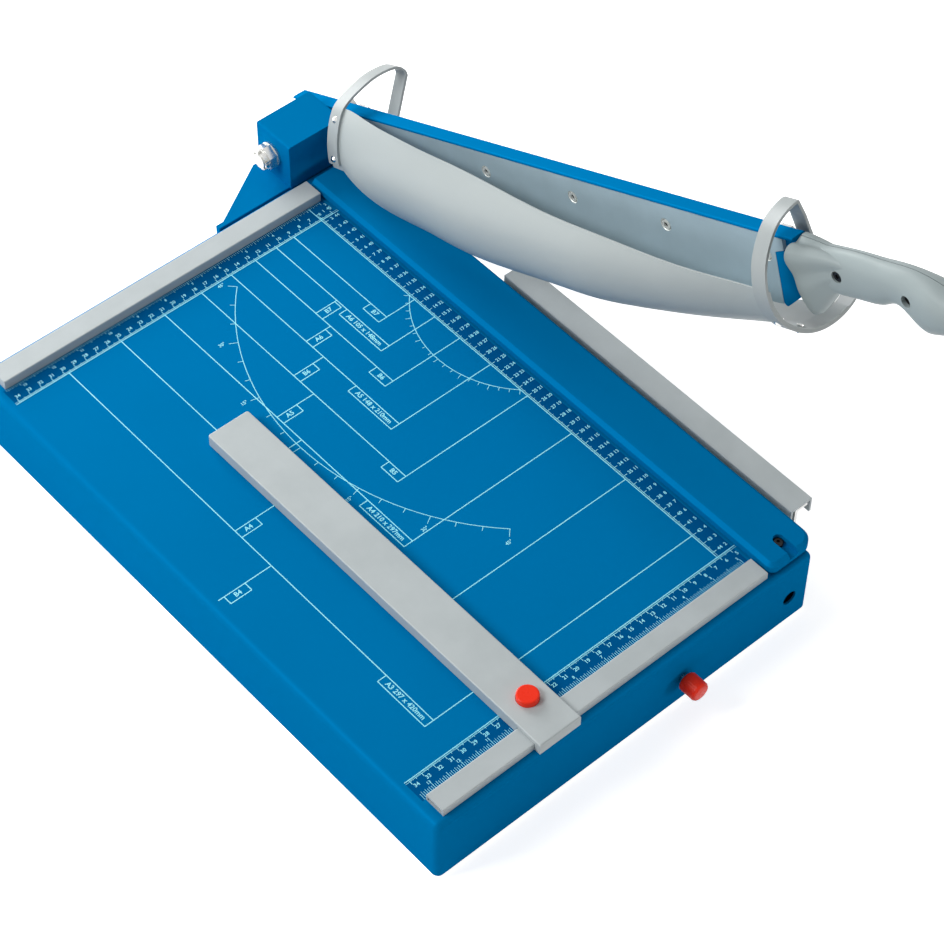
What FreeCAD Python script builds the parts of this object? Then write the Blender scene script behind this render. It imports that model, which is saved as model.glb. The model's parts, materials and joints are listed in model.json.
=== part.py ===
"""Lever paper trimmer for A3 sheets: steel table, two fences, lever with curved blade, rolling blade guard,
sprung clamp bar, sliding backstop with a release button, outboard strip gauge and its clamp knob.

Millimetres. +X runs across the table to the cutting edge, +Y from the user to the lever pivot, +Z up.
The origin is the centre of the table's footprint, on the desk. Every lever piece is drawn as if the lever were
closed and is then raised to its stop about the pivot.
"""
import FreeCAD
import Part
import math
import os

V = FreeCAD.Vector

# ---- table ----
TABLE_W = 343.0          # tray, across
WALL_H = 58.0            # tray, height of its walls
SHEET = 1.5
EDGE_R = 5.0             # folded edges of the tray
LIP = 13.0               # flange folded in under the walls
PLATE_T = 1.5            # bottom plate
PANEL_DEEP = 1.0         # stiffening panel pressed down in the bottom plate
PANEL_INSET = 62.0
FOOT_H = 3.5
FOOT_R = 10.0
FOOT_INSET = 34.0
FOOT_STEM_R = 3.0

GAP = 0.3                # between bodies that move past each other
RUN = 0.06               # radial, shafts in their bores
EASE = 0.1               # radial, screws in clearance holes

# ---- cutting line ----
CUT_LEN = 460.0
APRON = 26.0             # table in front of the end of the cut
COUNTER_T = 8.0          # fixed blade, thickness
COUNTER_H = 25.0
BLADE_T = 3.0
STOP_INSET = 27.0        # back fence's stop face in from the tray's back

# ---- fences ----
FENCE_L = 293.0
FENCE_END = 48.0         # fence ends short of the cutting line
BACK_FENCE_D = 17.5
BACK_FENCE_H = 8.0
FRONT_FENCE_D = 17.0
FRONT_FENCE_H = 6.0
FRONT_FENCE_WALL = 1.5
FRONT_FENCE_SET = 3.5    # fence's inner face beyond the end of the cut

# ---- lever ----
PIVOT_BACK = 46.0        # pivot behind the stop face
PIVOT_UP = 22.0          # pivot above the table
OPEN_DEG = 25.0
ARM_T = 9.0
ARM_TOP = 12.0
ARM_LOW = -16.0
BLADE_TOP = 9.6
FLANGE_GAP = 0.4         # shadow gap between the blade and the arm's flange
ARM_TAIL = 48.0
BOSS_R = 20.0
BOLT_R = 6.0
BUSH_WALL = 2.0
BLADE_START = 28.0
BLADE_OVER = 39.0        # blade's end past the cut, from the pivot
BLADE_SCREWS = 5
FIRST_SCREW = 96.4
LAST_SCREW_IN = 5.4
SCREW_N = -6.0
# share of the blade's length and depth of the cutting edge
EDGE_CURVE = [(0.0, -30.0), (0.132, -40.0), (0.259, -46.0), (0.471, -50.0), (0.684, -49.0), (0.875, -45.5),
              (1.0, -42.0)]
HANDLE_OVER = 63.5       # handle's start past the cut, from the pivot

# ---- guard ----
ROLL_X = 20.0            # roll axis, from the cutting line
ROLL_N = -12.0           # roll axis, above the pivot line
ROD_R = 3.0
GUARD_T = 1.2
HOOP_T = 2.0
HOOP_W = 13.0
REAR_HOOP_S = 33.0
GUARD_START = 34.0
FRONT_HOOP_BACK = 15.5   # front hoop's start behind the handle
HUB_R = 6.0

# ---- clamp bar ----
CLAMP_W = 42.0
CLAMP_EDGE = 4.0         # bar's edge in from the cutting line
CLAMP_H = 8.0
CLAMP_WALL = 2.0
CLAMP_LIFT = 3.5
POST_R = 4.0

# ---- backstop ----
STOP_W = 36.0
STOP_X = -244.5          # bar's middle from the cutting line
STOP_TOP = 10.0
STOP_BACK = -136.0
BUTTON_R = 8.0
BUTTON_SIDE = 1.5        # button off the bar's middle
BUTTON_PRESS = 2.0

# ---- strip gauge ----
GAUGE_L = 300.0
GAUGE_W = 20.7
GAUGE_X = 3.8
GAUGE_TOP = 3.0
GAUGE_WALL = 1.8
GAUGE_H = 14.0
GAUGE_SET = 8.0          # gauge's front end short of the end of the cut
GAUGE_ROD_R = 3.0
GAUGE_ROD_DROP = 34.0
KNOB_X = -130.4
KNOB_R = 7.2
KNOB_L = 15.0
KNOB_OFF = 3.0           # knob stands off the tray
STORE_HOLE_X = -27.7
STORE_HOLE_R = 6.0

# ---- derived ----
Z_UNDER = FOOT_H + PLATE_T
Z_TOP = Z_UNDER + WALL_H
TABLE_L = STOP_INSET + CUT_LEN + APRON     # tray, front to back
X_WALL = TABLE_W / 2
X_CUT = X_WALL + COUNTER_T
Y_BACK = TABLE_L / 2
Y_FRONT = -TABLE_L / 2
Y_STOP = Y_BACK - STOP_INSET
Y_PIV = Y_STOP + PIVOT_BACK
Z_PIV = Z_TOP + PIVOT_UP
Y_FENCE = Y_STOP - CUT_LEN - FRONT_FENCE_SET
BLADE_END = CUT_LEN + BLADE_OVER
HANDLE_S = CUT_LEN + HANDLE_OVER
FRONT_HOOP_S = HANDLE_S - FRONT_HOOP_BACK
ROD_Z = Z_TOP - GAUGE_ROD_DROP


# ---- helpers ----
def box(x0, x1, y0, y1, z0, z1):
    return Part.makeBox(x1 - x0, y1 - y0, z1 - z0, V(x0, y0, z0))


def rod(r, p, d, length):
    return Part.makeCylinder(r, length, V(*p), V(*d))


def ring(r_out, r_in, p, d, length):
    return rod(r_out, p, d, length).cut(rod(r_in, p, d, length))


def prism(points, move):
    wire = Part.makePolygon([V(*p) for p in points + points[:1]])
    return Part.Face(wire).extrude(V(*move))


def hex_bar(af, p, d, length):
    """Hexagonal bar along a row axis."""
    r = af / math.sqrt(3)
    axis = V(*d)
    side = V(0, 0, 1) if abs(axis.z) < 0.5 else V(1, 0, 0)
    up = axis.cross(side)
    pts = []
    for k in range(6):
        a = math.radians(60 * k)
        pts.append(V(*p) + side * (r * math.cos(a)) + up * (r * math.sin(a)))
    face = Part.Face(Part.makePolygon(pts + pts[:1]))
    return face.extrude(axis * length)


def round_edges(shape, r, pick):
    edges = [e for e in shape.Edges if pick(e)]
    return shape.makeFillet(r, edges) if edges else shape


def along(e, axis):
    if len(e.Vertexes) < 2:
        return False
    d = e.Vertexes[1].Point - e.Vertexes[0].Point
    return d.Length > 1e-6 and abs(abs(d.dot(V(*axis))) / d.Length - 1) < 1e-6


def fuse(shapes):
    out = shapes[0]
    for s in shapes[1:]:
        out = out.fuse(s)
    return out.removeSplitter()


def cut(shape, tools):
    for t in tools:
        shape = shape.cut(t)
    return shape


def on_arm(x, s, n):
    """Point x from the cutting line, s along the closed lever from its pivot and n above its pivot line."""
    return V(X_CUT + x, Y_PIV - s, Z_PIV + n)


def raised(shape):
    shape = shape.copy()
    shape.rotate(V(0, Y_PIV, Z_PIV), V(1, 0, 0), -OPEN_DEG)
    return shape


def arm_box(x0, x1, s0, s1, n0, n1):
    return box(X_CUT + x0, X_CUT + x1, Y_PIV - s1, Y_PIV - s0, Z_PIV + n0, Z_PIV + n1)


def save(name, shape):
    shapes = shape if isinstance(shape, list) else [shape]
    solids = [s for one in shapes for s in one.Solids]
    out = solids[0] if len(solids) == 1 else Part.makeCompound(solids)
    out.exportStep("parts/%s.step" % name)


def coil(centre, r, wire, length, turns):
    """Open coil spring standing on centre."""
    sections = []
    for k in range(int(turns * 12) + 1):
        a = math.radians(30 * k)
        mid = V(r * math.cos(a), r * math.sin(a), wire + (length - 2 * wire) * k / (turns * 12)) + centre
        ring_pts = []
        for j in range(6):
            b = math.radians(60 * j)
            ring_pts.append(mid + V(math.cos(a), math.sin(a), 0) * wire * math.cos(b) + V(0, 0, wire * math.sin(b)))
        sections.append(Part.makePolygon(ring_pts + ring_pts[:1]))
    return Part.makeLoft(sections, True, True)


def countersunk(p, d, r, length, head_r=None):
    """Countersunk screw: head flush at p, shank along d."""
    hr = head_r or 1.9 * r
    head_h = hr - r
    head = Part.makeCone(hr, r, head_h, V(*p), V(*d))
    body = rod(r, p, d, length)
    slot_p = V(*p)
    sock = hex_bar(1.1 * r, slot_p, d, 0.8 * head_h)
    return head.fuse(body).removeSplitter().cut(sock)


def countersink(p, d, r, length, head_r=None):
    hr = (head_r or 1.9 * r) + EASE
    head_h = hr - r
    start = V(*p) - V(*d) * 0.5
    lead = rod(hr, tuple(start), d, 0.5)
    return fuse([lead, Part.makeCone(hr, r + EASE, head_h - EASE, V(*p), V(*d)), rod(r + EASE, p, d, length)])


def pan_head(p, d, r, length, head_r, head_h):
    """Pan-head screw: head sits on p on the side away from d, shank along d."""
    back = V(*p) - V(*d) * head_h
    head = rod(head_r, tuple(back), d, head_h)
    edges = [e for e in head.Edges if e.BoundBox.Center.distanceToPoint(back) < 1e-3]
    head = head.makeFillet(0.45 * head_h, edges)
    sock = hex_bar(1.2 * r, back, d, 0.5 * head_h)
    return head.fuse(rod(r, p, d, length)).removeSplitter().cut(sock)


os.makedirs("parts", exist_ok=True)

# ======================================================================================= shared positions
counter_y = [Y_STOP - 10 - k * (CUT_LEN - 10) / 4 for k in range(5)]
COUNTER_SCREW_R = 2.5
COUNTER_SCREW_DROP = 13.0
fence_x = [X_CUT - FENCE_END - 20 - k * (FENCE_L - 40) / 2 for k in range(3)]
FENCE_SCREW_R = 2.0
back_fence_y = Y_STOP + BACK_FENCE_D / 2
front_fence_y = Y_FENCE - FRONT_FENCE_D / 2
post_x = X_CUT - CLAMP_EDGE - CLAMP_W / 2
post_y = [Y_STOP - 34, Y_STOP - CUT_LEN - 7]
POST_BUSH_R = POST_R + RUN + 1.5
gy0 = Y_STOP - CUT_LEN + GAUGE_SET
gy1 = gy0 + GAUGE_L
rod_y = [gy1 - 8.0, gy0 + 8.0]
ROD_BUSH_R = GAUGE_ROD_R + RUN + 1.5
plate_screws = [(sx * (TABLE_W / 2 - LIP / 2 - 1), sy)
                for sx in (-1, 1) for sy in (Y_FRONT + 60, 0, Y_BACK - 60)]
PLATE_SCREW_R = 1.5
feet = [(sx * (TABLE_W / 2 - FOOT_INSET), sy * (TABLE_L / 2 - FOOT_INSET)) for sx in (-1, 1) for sy in (-1, 1)]
BRACKET_T = 4.0
BRACKET_LEFT = -57.0
BRACKET_RIGHT = -5.0
BRACKET_TIP = -125.0
BRACKET_TOP = 42.0
BRACKET_FRONT = -2.0     # box's front face from the tray's back
BRACKET_BACK = 37.0      # box's back face from the tray's back
BRACKET_LEG = 45.0
BRACKET_SCREW_R = 3.0
bracket_holes = [(X_CUT + x, Z_TOP - z) for x in (-105.0, -25.0) for z in (15.0, 34.0)]
knob_x = X_CUT + KNOB_X
STUD_R = 3.0

# ======================================================================================= table
outer = box(-TABLE_W / 2, TABLE_W / 2, Y_FRONT, Y_BACK, Z_UNDER, Z_TOP)
outer = round_edges(outer, EDGE_R, lambda e: along(e, (0, 0, 1)) or e.BoundBox.ZMin > Z_TOP - 1e-3)
inner = box(-TABLE_W / 2 + SHEET, TABLE_W / 2 - SHEET, Y_FRONT + SHEET, Y_BACK - SHEET, Z_UNDER + SHEET,
            Z_TOP - SHEET)
inner = round_edges(inner, EDGE_R - SHEET, lambda e: along(e, (0, 0, 1)) or e.BoundBox.ZMin > Z_TOP - SHEET - 1e-3)
mouth = box(-TABLE_W / 2 + LIP, TABLE_W / 2 - LIP, Y_FRONT + LIP, Y_BACK - LIP, Z_UNDER, Z_UNDER + SHEET + 1)
tools = [inner, mouth]
tools += [rod(PLATE_SCREW_R, (x, y, Z_UNDER), (0, 0, 1), SHEET) for x, y in plate_screws]
tools += [rod(FENCE_SCREW_R + EASE, (x, y, Z_TOP - SHEET), (0, 0, 1), SHEET)
          for x in fence_x for y in (back_fence_y, front_fence_y)]
tools += [rod(POST_BUSH_R, (post_x, y, Z_TOP - SHEET), (0, 0, 1), SHEET) for y in post_y]
tools += [rod(ROD_BUSH_R, (X_WALL - SHEET, y, ROD_Z), (1, 0, 0), SHEET) for y in rod_y]
tools += [rod(COUNTER_SCREW_R + EASE, (X_WALL - SHEET, y, Z_TOP - COUNTER_SCREW_DROP), (1, 0, 0), SHEET)
          for y in counter_y]
tools += [rod(BRACKET_SCREW_R + EASE, (x, Y_BACK - SHEET, z), (0, 1, 0), SHEET) for x, z in bracket_holes]
tools += [rod(STUD_R + 0.5, (knob_x, Y_FRONT, ROD_Z), (0, 1, 0), SHEET),
          rod(STORE_HOLE_R, (X_CUT + STORE_HOLE_X, Y_FRONT, ROD_Z), (0, 1, 0), SHEET)]
save("table_body", cut(outer, tools))

plate = box(-TABLE_W / 2 + 1.0, TABLE_W / 2 - 1.0, Y_FRONT + 1.0, Y_BACK - 1.0, FOOT_H, Z_UNDER)
plate = round_edges(plate, EDGE_R - 1.0, lambda e: along(e, (0, 0, 1)))
plate = cut(plate, [rod(PLATE_SCREW_R + EASE, (x, y, FOOT_H), (0, 0, 1), PLATE_T) for x, y in plate_screws]
            + [rod(FOOT_STEM_R, (x, y, FOOT_H), (0, 0, 1), PLATE_T) for x, y in feet])
panel_x, panel_y = TABLE_W / 2 - PANEL_INSET, TABLE_L / 2 - PANEL_INSET
panel = box(-panel_x, panel_x, -panel_y, panel_y, FOOT_H - PANEL_DEEP, Z_UNDER)
panel_room = box(-panel_x + PLATE_T, panel_x - PLATE_T, -panel_y + PLATE_T, panel_y - PLATE_T,
                 FOOT_H - PANEL_DEEP + PLATE_T, Z_UNDER)
panel = round_edges(panel, 12.0, lambda e: along(e, (0, 0, 1)))
panel_room = round_edges(panel_room, 12.0 - PLATE_T, lambda e: along(e, (0, 0, 1)))
save("base_plate", fuse([plate, panel]).cut(panel_room))
save("base_plate_screws", [pan_head((x, y, FOOT_H), (0, 0, 1), PLATE_SCREW_R, PLATE_T + SHEET + 1.5, 2.8, 1.8)
                           for x, y in plate_screws])


def foot(x, y):
    pad = Part.makeCone(FOOT_R - 1, FOOT_R, FOOT_H, V(x, y, 0))
    stem = rod(FOOT_STEM_R, (x, y, FOOT_H), (0, 0, 1), PLATE_T)
    bulb = Part.makeCone(FOOT_STEM_R + 1.2, FOOT_STEM_R, 3.0, V(x, y, Z_UNDER))
    return fuse([pad, stem, bulb])


save("rubber_feet", [foot(x, y) for x, y in feet])

# ======================================================================================= fixed blade
blade_bar = box(X_WALL, X_CUT, Y_STOP - CUT_LEN - 8, Y_STOP + 6, Z_TOP - COUNTER_H, Z_TOP)
head_at = X_CUT - GAP
counter_screws = [((head_at, y, Z_TOP - COUNTER_SCREW_DROP), (-1, 0, 0)) for y in counter_y]
blade_bar = cut(blade_bar, [countersink(p, d, COUNTER_SCREW_R, COUNTER_T) for p, d in counter_screws])
save("counter_blade", blade_bar)
NUT_H = 4.0
save("counter_blade_screws", [countersunk(p, d, COUNTER_SCREW_R, COUNTER_T - GAP + SHEET + NUT_H + 1)
                              for p, d in counter_screws])
save("counter_blade_nuts", [hex_bar(8.0, (X_WALL - SHEET, y, Z_TOP - COUNTER_SCREW_DROP), (-1, 0, 0), NUT_H)
                            .cut(rod(COUNTER_SCREW_R, (X_WALL - SHEET - NUT_H, y, Z_TOP - COUNTER_SCREW_DROP),
                                     (1, 0, 0), NUT_H)) for y in counter_y])

# ======================================================================================= fences
x_f1 = X_CUT - FENCE_END
x_f0 = x_f1 - FENCE_L
bar = box(x_f0, x_f1, Y_STOP, Y_STOP + BACK_FENCE_D, Z_TOP, Z_TOP + BACK_FENCE_H)
bar = round_edges(bar, 0.8, lambda e: along(e, (1, 0, 0)) and e.BoundBox.ZMin > Z_TOP + 1)
bar = cut(bar, [rod(FENCE_SCREW_R, (x, back_fence_y, Z_TOP), (0, 0, 1), 6.0) for x in fence_x])
save("back_fence", bar)
save("back_fence_screws", [pan_head((x, back_fence_y, Z_TOP - SHEET), (0, 0, 1), FENCE_SCREW_R, SHEET + 5.0, 3.6, 2.4)
                           for x in fence_x])
y_ff0 = Y_FENCE - FRONT_FENCE_D
tube = box(x_f0, x_f1, y_ff0, Y_FENCE, Z_TOP, Z_TOP + FRONT_FENCE_H)
tube = round_edges(tube, 1.0, lambda e: along(e, (1, 0, 0)) and e.BoundBox.ZMin > Z_TOP + 1)
w = FRONT_FENCE_WALL
tube = cut(tube, [box(x_f0, x_f1, y_ff0 + w, Y_FENCE - w, Z_TOP + w, Z_TOP + FRONT_FENCE_H - w)]
           + [rod(FENCE_SCREW_R, (x, front_fence_y, Z_TOP), (0, 0, 1), w) for x in fence_x])
save("front_fence", tube)
save("front_fence_screws", [pan_head((x, front_fence_y, Z_TOP - SHEET), (0, 0, 1), FENCE_SCREW_R,
                                     SHEET + w + 2.0, 3.6, 2.4) for x in fence_x])

# ======================================================================================= pivot bracket
bx0, bx1, bx2 = X_CUT + BRACKET_TIP, X_CUT + BRACKET_LEFT, X_CUT + BRACKET_RIGHT
by0, by1 = Y_BACK + BRACKET_FRONT, Y_BACK + BRACKET_BACK
T = BRACKET_T
flange = prism([(bx0, Y_BACK, Z_TOP - T), (bx2, Y_BACK, Z_TOP - T), (bx2, by1, Z_TOP - T),
                (bx1 - 6, by1, Z_TOP - T)], (0, 0, T))
leg = box(bx0, bx2, Y_BACK, Y_BACK + T, Z_TOP - BRACKET_LEG, Z_TOP)
left = box(bx1, bx1 + T, by0, by1, Z_TOP, Z_TOP + BRACKET_TOP)
right = box(bx2 - T, bx2, by0, by1, Z_TOP, Z_TOP + BRACKET_TOP)
roof = box(bx1, bx2, by0, by1, Z_TOP + BRACKET_TOP - T, Z_TOP + BRACKET_TOP)
face = box(bx1, bx2, by0, by0 + T, Z_TOP, Z_TOP + BRACKET_TOP)
ribs = [prism([(x, Y_BACK + T, Z_TOP - T), (x, by1 - 2, Z_TOP - T), (x, Y_BACK + T, Z_TOP - BRACKET_LEG + 4)],
              (T, 0, 0)) for x in (bx1, bx2 - T)]
bracket = fuse([flange, leg, left, right, roof, face] + ribs)
bracket = round_edges(bracket, 1.5, lambda e: along(e, (0, 1, 0)) and e.BoundBox.ZMin > Z_TOP + BRACKET_TOP - 0.1)
bracket = cut(bracket, [rod(BOLT_R + EASE, (bx1, Y_PIV, Z_PIV), (1, 0, 0), T),
                        rod(BOLT_R + EASE, (bx2 - T, Y_PIV, Z_PIV), (1, 0, 0), T)]
              + [rod(BRACKET_SCREW_R + EASE, (x, Y_BACK, z), (0, 1, 0), T) for x, z in bracket_holes])
save("pivot_bracket", bracket)
save("bracket_screws", [fuse([hex_bar(10.0, (x, Y_BACK + T, z), (0, 1, 0), 4.0),
                              rod(BRACKET_SCREW_R, (x, Y_BACK - SHEET - 7.0, z), (0, 1, 0), T + SHEET + 7.0)])
                        for x, z in bracket_holes])
save("bracket_nuts", [hex_bar(10.0, (x, Y_BACK - SHEET, z), (0, -1, 0), 5.0)
                      .cut(rod(BRACKET_SCREW_R, (x, Y_BACK - SHEET - 5, z), (0, 1, 0), 5.0)) for x, z in bracket_holes])

# ---- pivot bolt, washers and nuts
ARM_X = GAP + BLADE_T                     # arm's inner face from the cutting line
arm_x1 = ARM_X + ARM_T
HUB_L = arm_x1 - GAP
WASHER_T = 2.0
WASHER_R = 10.5
NUT_AF = 18.0
NUT_T = 7.0
LOCK_T = 3.5
LOCK_R = 8.0
bolt_head_x = X_CUT + arm_x1 + GAP + WASHER_T
bolt_end_x = bx1 - WASHER_T - NUT_T - LOCK_T - 1.0
bolt = fuse([rod(BOLT_R, (bolt_end_x, Y_PIV, Z_PIV), (1, 0, 0), bolt_head_x - bolt_end_x),
             hex_bar(NUT_AF, (bolt_head_x, Y_PIV, Z_PIV), (1, 0, 0), 7.5)])
save("pivot_bolt", bolt)
save("pivot_washers", [ring(WASHER_R, BOLT_R + 0.2, (bx1 - WASHER_T, Y_PIV, Z_PIV), (1, 0, 0), WASHER_T),
                       ring(WASHER_R, BOLT_R + 0.2, (bolt_head_x - WASHER_T, Y_PIV, Z_PIV), (1, 0, 0), WASHER_T)])
save("pivot_spacer", ring(10.0, BOLT_R + 0.2, (bx2, Y_PIV, Z_PIV), (1, 0, 0), X_CUT - bx2))
nut_x = bx1 - WASHER_T - NUT_T
save("pivot_nut", hex_bar(NUT_AF, (nut_x, Y_PIV, Z_PIV), (1, 0, 0), NUT_T)
     .cut(rod(BOLT_R, (nut_x, Y_PIV, Z_PIV), (1, 0, 0), NUT_T)))
lock_x = nut_x - LOCK_T
lock = ring(LOCK_R, BOLT_R, (lock_x, Y_PIV, Z_PIV), (1, 0, 0), LOCK_T)
for k in range(3):
    slot = box(lock_x, lock_x + 0.6 * LOCK_T, Y_PIV - 1.4, Y_PIV + 1.4, Z_PIV - 12, Z_PIV + 12)
    slot.rotate(V(0, Y_PIV, Z_PIV), V(1, 0, 0), 60 * k)
    lock = lock.cut(slot.cut(rod(BOLT_R, (lock_x, Y_PIV, Z_PIV), (1, 0, 0), LOCK_T)))
save("pivot_lock_nut", lock)

# ======================================================================================= lever arm
TANG_END = HANDLE_S + 108.5
TANG_TOP, TANG_LOW = 2.5, -13.0
# blade's end and the wedge that carries it in front, s from the blade's end
end_pts = [(4.3, -1.7), (13.0, 1.2), (13.9, BLADE_TOP)]
wedge_low = [(17.8, -33.0), (0.0, -45.5)]
plate_pts = [(-ARM_TAIL, ARM_TOP), (-ARM_TAIL, 2.0), (-14.0, -10.0), (30.0, ARM_LOW), (BLADE_END + 2.0, ARM_LOW),
             (BLADE_END + 2.5, -42.0), (BLADE_END + 17.8, -33.0), (HANDLE_S - 0.5, TANG_LOW), (TANG_END, TANG_LOW),
             (TANG_END, TANG_TOP), (HANDLE_S - 0.5, TANG_TOP), (HANDLE_S - 1, ARM_TOP)]
arm = prism([tuple(on_arm(ARM_X, s, n)) for s, n in plate_pts], (ARM_T, 0, 0))
wedge_pts = [(BLADE_END + ds, n) for ds, n in [(4.6, -2.0), (13.3, 0.9), (19.0, -15.0)] + wedge_low]
wedge = prism([tuple(on_arm(GAP, s, n)) for s, n in wedge_pts], (BLADE_T, 0, 0))
wedge = round_edges(wedge, 2.5, lambda e: along(e, (1, 0, 0)) and e.BoundBox.ZMax < Z_PIV - 32.5)
boss = rod(BOSS_R, tuple(on_arm(GAP, 0, 0)), (1, 0, 0), HUB_L)
boss = boss.common(arm_box(-1, 40, -30, 30, -BOSS_R, ARM_TOP))
over = arm_box(GAP, arm_x1, -ARM_TAIL, HANDLE_S - 1, BLADE_TOP + FLANGE_GAP, ARM_TOP)
arm = fuse([arm, boss, over, wedge])
arm = round_edges(arm, 4.0, lambda e: along(e, (1, 0, 0)) and e.BoundBox.YMin > Y_PIV + ARM_TAIL - 0.1
                  and e.BoundBox.ZMin > Z_PIV + ARM_TOP - 0.1)
arm = round_edges(arm, 1.2, lambda e: along(e, (0, 1, 0)) and e.BoundBox.ZMin > Z_PIV + ARM_TOP - 0.01)
screw_pitch = (BLADE_END - LAST_SCREW_IN - FIRST_SCREW) / (BLADE_SCREWS - 1)
screw_s = [FIRST_SCREW + screw_pitch * k for k in range(BLADE_SCREWS)]
BLADE_SCREW_R = 3.0
BUSH_R = BOLT_R + BUSH_WALL
LUG_SCREW_R = 2.5
LUG_SCREW_N = 3.0
lug_s = [(22.0, 31.5), (HANDLE_S - 27.0, HANDLE_S - 17.5)]
HANDLE_SCREW_R = 2.5
handle_screws = [(HANDLE_S + 35.5, -6.8), (HANDLE_S + 97.8, -8.3)]
arm = cut(arm, [rod(BUSH_R, tuple(on_arm(GAP, 0, 0)), (1, 0, 0), HUB_L)]
          + [rod(BLADE_SCREW_R, tuple(on_arm(ARM_X, s, SCREW_N)), (1, 0, 0), ARM_T) for s in screw_s]
          + [rod(LUG_SCREW_R, tuple(on_arm(ARM_X + 1, (a + b) / 2, LUG_SCREW_N)), (1, 0, 0), ARM_T) for a, b in lug_s]
          + [rod(HANDLE_SCREW_R + 0.2, tuple(on_arm(ARM_X, s, n)), (1, 0, 0), ARM_T) for s, n in handle_screws])
save("lever_arm", raised(arm))
save("pivot_bush", raised(ring(BUSH_R, BOLT_R + RUN, tuple(on_arm(GAP, 0, 0)), (1, 0, 0), HUB_L)))


# ======================================================================================= upper blade
def blade_face(x, lift):
    pts = [on_arm(x, BLADE_START + share * (BLADE_END - BLADE_START), n + lift) for share, n in EDGE_CURVE]
    curve = Part.BSplineCurve()
    curve.interpolate(pts)
    edge = curve.toShape()
    round_it = [pts[-1]] + [on_arm(x, BLADE_END + ds, n) for ds, n in end_pts]
    round_it += [on_arm(x, BLADE_START, BLADE_TOP), pts[0]]
    return Part.Wire([edge] + [Part.makeLine(a, b) for a, b in zip(round_it, round_it[1:])])


BEVEL = 5.0
blade = Part.makeLoft([blade_face(GAP, 0.0), blade_face(GAP + BLADE_T, BEVEL)], True, True)
blade_screws = [(tuple(on_arm(GAP, s, SCREW_N)), (1, 0, 0)) for s in screw_s]
blade = cut(blade, [countersink(p, d, BLADE_SCREW_R, BLADE_T, 1.6 * BLADE_SCREW_R) for p, d in blade_screws])
save("upper_blade", raised(blade))
save("blade_screws", [raised(countersunk(p, d, BLADE_SCREW_R, BLADE_T + ARM_T, 1.6 * BLADE_SCREW_R))
                      for p, d in blade_screws])

# ======================================================================================= handle
SEAM_X = ARM_X + ARM_T / 2
HANDLE_HALF = 9.5        # half width of the grip at its screws
GRIP_WALL = 2.6
# distance along the handle, n of the top, n of the bottom, half width
grip = [(0.0, 8.0, -24.0, 9.5), (21.5, 9.0, -24.2, 9.2), (39.5, 10.2, -24.2, 8.6), (59.5, 10.5, -23.6, 8.8),
        (78.5, 10.0, -18.6, HANDLE_HALF), (89.5, 10.0, -20.2, 10.0), (101.5, 9.2, -30.0, 11.2),
        (112.5, 7.0, -32.0, 12.6), (124.5, 3.2, -29.5, 13.4), (136.5, -1.2, -27.0, 12.6),
        (146.5, -5.5, -24.5, 10.4), (154.5, -11.0, -21.5, 6.5)]
# distance along the handle, n of the top and the bottom, width scales of the top and the bottom of the finger guard
cup = [(0.0, 8.8, -47.3, 1.0, 1.0), (5.0, 8.8, -44.6, 0.93, 0.97), (11.0, 8.6, -39.4, 0.84, 0.92),
       (17.0, 8.3, -33.6, 0.75, 0.86), (24.0, 7.6, -26.6, 0.65, 0.78), (33.0, 6.0, -21.8, 0.54, 0.63),
       (45.0, 2.5, -18.5, 0.44, 0.46)]
cup_side = [(-0.012, -7.0), (0.0, -14.4), (0.062, -17.1), (0.22, -16.2), (0.36, -13.7), (0.53, -13.1), (0.68, -11.4),
            (0.8, -9.4), (0.9, -7.2), (0.97, -4.2), (1.0, 0.6), (0.97, 4.4), (0.84, 6.6), (0.6, 7.9),
            (0.35, 8.8), (0.1, 8.4), (-0.03, 5.6), (-0.04, 0.0)]


def closed_spline(pts):
    curve = Part.BSplineCurve()
    curve.interpolate(pts, PeriodicFlag=True)
    return Part.Wire(curve.toShape())


def grip_wire(d_s, top, low, hw, wall):
    n, hh, hw = (top + low) / 2, (top - low) / 2 - wall, hw - wall
    pts = []
    for k in range(16):
        a = math.radians(22.5 * k)
        c, d = math.cos(a), math.sin(a)
        p = 2.4
        rr = (abs(c) ** p + abs(d) ** p) ** (-1 / p)
        pts.append(on_arm(SEAM_X + hw * rr * c, HANDLE_S + d_s, n + hh * rr * d))
    return closed_spline(pts)


def grip_solid(rows, wall):
    return Part.makeLoft([grip_wire(*row, wall) for row in rows], True, False)


def cup_wire(d_s, top, low, top_scale, low_scale):
    pts = []
    for depth, x in cup_side:
        scale = top_scale + (low_scale - top_scale) * min(1.0, max(0.0, depth / 0.5))
        pts.append(on_arm(SEAM_X + scale * x, HANDLE_S + d_s, top + (low - top) * depth))
    return closed_spline(pts)


hull = grip_solid(grip, 0.0)
room = grip_solid([(row[0] if k else row[0] + 4.0,) + row[1:] for k, row in enumerate(grip[:-1])], GRIP_WALL)
finger_guard = Part.makeLoft([cup_wire(*row) for row in cup], True, False)
SEAM_GAP = 0.3
posts = [rod(5.5, tuple(on_arm(SEAM_X + side * ARM_T / 2, s, n)), (side, 0, 0), 30.0)
         for s, n in handle_screws for side in (-1, 1)]
mouth_way = arm_box(ARM_X - 0.2, arm_x1 + 0.2, HANDLE_S - 2, HANDLE_S + 6, TANG_LOW - 0.5, TANG_TOP + 0.5)
body = cut(hull.fuse(finger_guard), [cut(room, posts), mouth_way])
halves = [body.common(arm_box(x0, x1, HANDLE_S - 5, HANDLE_S + 200, -80, 60))
          for x0, x1 in ((SEAM_X - 40, SEAM_X - SEAM_GAP), (SEAM_X + SEAM_GAP, SEAM_X + 40))]
left_half, right_half = halves
grip_screws = []
HEAD_SINK = 3.8
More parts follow.
